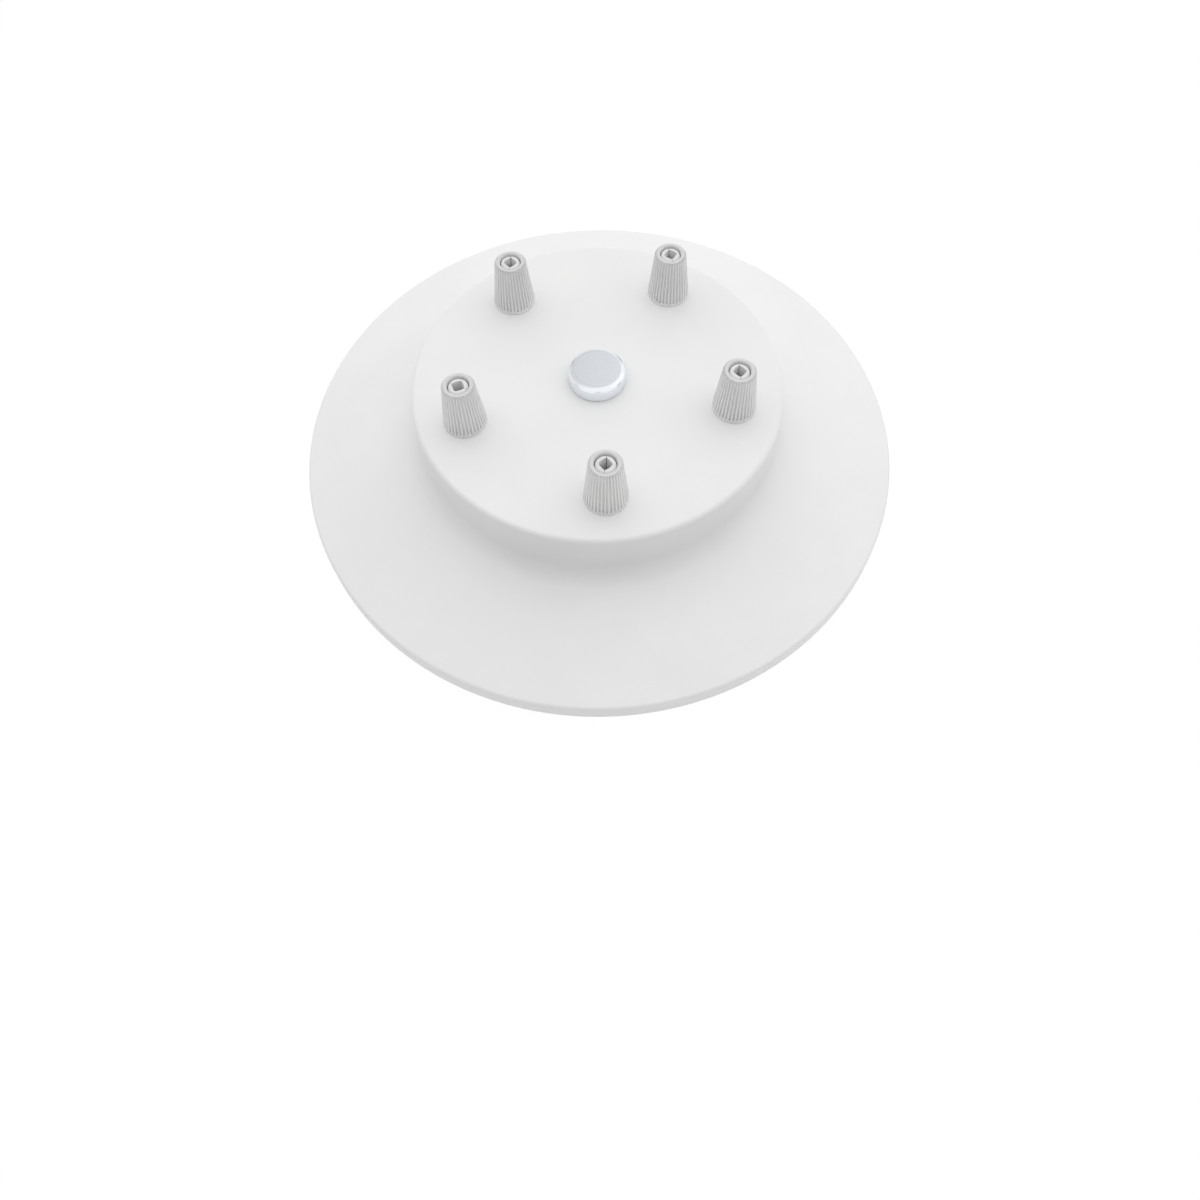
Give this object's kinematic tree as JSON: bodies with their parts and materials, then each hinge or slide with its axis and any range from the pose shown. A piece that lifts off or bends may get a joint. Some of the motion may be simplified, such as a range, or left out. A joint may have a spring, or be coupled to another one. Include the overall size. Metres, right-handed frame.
{
  "type": "electrical ceiling rose",
  "caption": "Round pressed steel ceiling rose with a sloping brim, a raised boss, ribbed cord grips on a circle and a central cap nut that holds it to a hidden ceiling strap.",
  "frame": {"origin": "centre of the ceiling plane, on which the rim and the strap's feet lie", "axes": "+Z out of the ceiling into the room, along the stud and the grips; the first grip stands on -Y and the strap runs along X"},
  "size_m": [0.2, 0.2, 0.054],
  "materials": {
    "white_enamel": "satin white powder coat",
    "bright_zinc": "fine turned bright zinc plate",
    "zinc_steel": "zinc plated",
    "zinc_strip": "rolled, zinc plated",
    "grey_grip_plastic": "satin moulded nylon",
    "block_plastic": "waxy moulded polyethylene",
    "brass": "drawn brass"
  },
  "bodies": {
    "strap": {"ceiling_strap": "zinc_strip", "threaded_stud": "zinc_steel", "stud_nut_lower": "zinc_steel", "stud_nut_upper": "zinc_steel", "terminal_block": "block_plastic", "terminal_tube_1": "brass", "terminal_tube_2": "brass", "terminal_tube_3": "brass", "terminal_screws": "zinc_steel", "block_screw": "zinc_steel", "earth_screw": "brass", "earth_washer": "brass"},
    "shell": {"rose_shell": "white_enamel"},
    "cap_nut": {"cap_nut": "bright_zinc"},
    "cone_1": {"grip_cone_1": "grey_grip_plastic"},
    "stem_1": {"grip_stem_1": "grey_grip_plastic", "grip_washer_1": "zinc_steel", "grip_nut_1": "grey_grip_plastic"},
    "cone_2": {"grip_cone_2": "grey_grip_plastic"},
    "stem_2": {"grip_stem_2": "grey_grip_plastic", "grip_washer_2": "zinc_steel", "grip_nut_2": "grey_grip_plastic"},
    "cone_3": {"grip_cone_3": "grey_grip_plastic"},
    "stem_3": {"grip_stem_3": "grey_grip_plastic", "grip_washer_3": "zinc_steel", "grip_nut_3": "grey_grip_plastic"},
    "cone_4": {"grip_cone_4": "grey_grip_plastic"},
    "stem_4": {"grip_stem_4": "grey_grip_plastic", "grip_washer_4": "zinc_steel", "grip_nut_4": "grey_grip_plastic"},
    "cone_5": {"grip_cone_5": "grey_grip_plastic"},
    "stem_5": {"grip_stem_5": "grey_grip_plastic", "grip_washer_5": "zinc_steel", "grip_nut_5": "grey_grip_plastic"}
  },
  "joints": [
    {"name": "shell_lower", "type": "slide", "parent": "strap", "child": "shell", "axis": [0, 0, 1], "range_m": [0, 0.003]},
    {"name": "cap_nut_turn", "type": "hinge", "parent": "shell", "child": "cap_nut", "pos_m": [0, 0, 0.036], "axis": [0, 0, 1], "range_deg": [0, 1080]},
    {"name": "cone_1_turn", "type": "hinge", "parent": "shell", "child": "cone_1", "pos_m": [0, -0.0445, 0.036], "axis": [0, 0, 1], "range_deg": [0, 2160]},
    {"name": "stem_1_draw", "type": "slide", "parent": "shell", "child": "stem_1", "axis": [0, 0, 1], "range_m": [-0.006, 0]},
    {"name": "cone_2_turn", "type": "hinge", "parent": "shell", "child": "cone_2", "pos_m": [0.04232, -0.01375, 0.036], "axis": [0, 0, 1], "range_deg": [0, 2160]},
    {"name": "stem_2_draw", "type": "slide", "parent": "shell", "child": "stem_2", "axis": [0, 0, 1], "range_m": [-0.006, 0]},
    {"name": "cone_3_turn", "type": "hinge", "parent": "shell", "child": "cone_3", "pos_m": [0.02616, 0.036, 0.036], "axis": [0, 0, 1], "range_deg": [0, 2160]},
    {"name": "stem_3_draw", "type": "slide", "parent": "shell", "child": "stem_3", "axis": [0, 0, 1], "range_m": [-0.006, 0]},
    {"name": "cone_4_turn", "type": "hinge", "parent": "shell", "child": "cone_4", "pos_m": [-0.02616, 0.036, 0.036], "axis": [0, 0, 1], "range_deg": [0, 2160]},
    {"name": "stem_4_draw", "type": "slide", "parent": "shell", "child": "stem_4", "axis": [0, 0, 1], "range_m": [-0.006, 0]},
    {"name": "cone_5_turn", "type": "hinge", "parent": "shell", "child": "cone_5", "pos_m": [-0.04232, -0.01375, 0.036], "axis": [0, 0, 1], "range_deg": [0, 2160]},
    {"name": "stem_5_draw", "type": "slide", "parent": "shell", "child": "stem_5", "axis": [0, 0, 1], "range_m": [-0.006, 0]}
  ],
  "couplings": [
    {"joint": "cap_nut_turn", "follows": "shell_lower", "rad_per_m": 6283.2},
    {"joint": "cone_1_turn", "follows": "stem_1_draw", "rad_per_m": -6283.2},
    {"joint": "cone_2_turn", "follows": "stem_2_draw", "rad_per_m": -6283.2},
    {"joint": "cone_3_turn", "follows": "stem_3_draw", "rad_per_m": -6283.2},
    {"joint": "cone_4_turn", "follows": "stem_4_draw", "rad_per_m": -6283.2},
    {"joint": "cone_5_turn", "follows": "stem_5_draw", "rad_per_m": -6283.2}
  ]
}
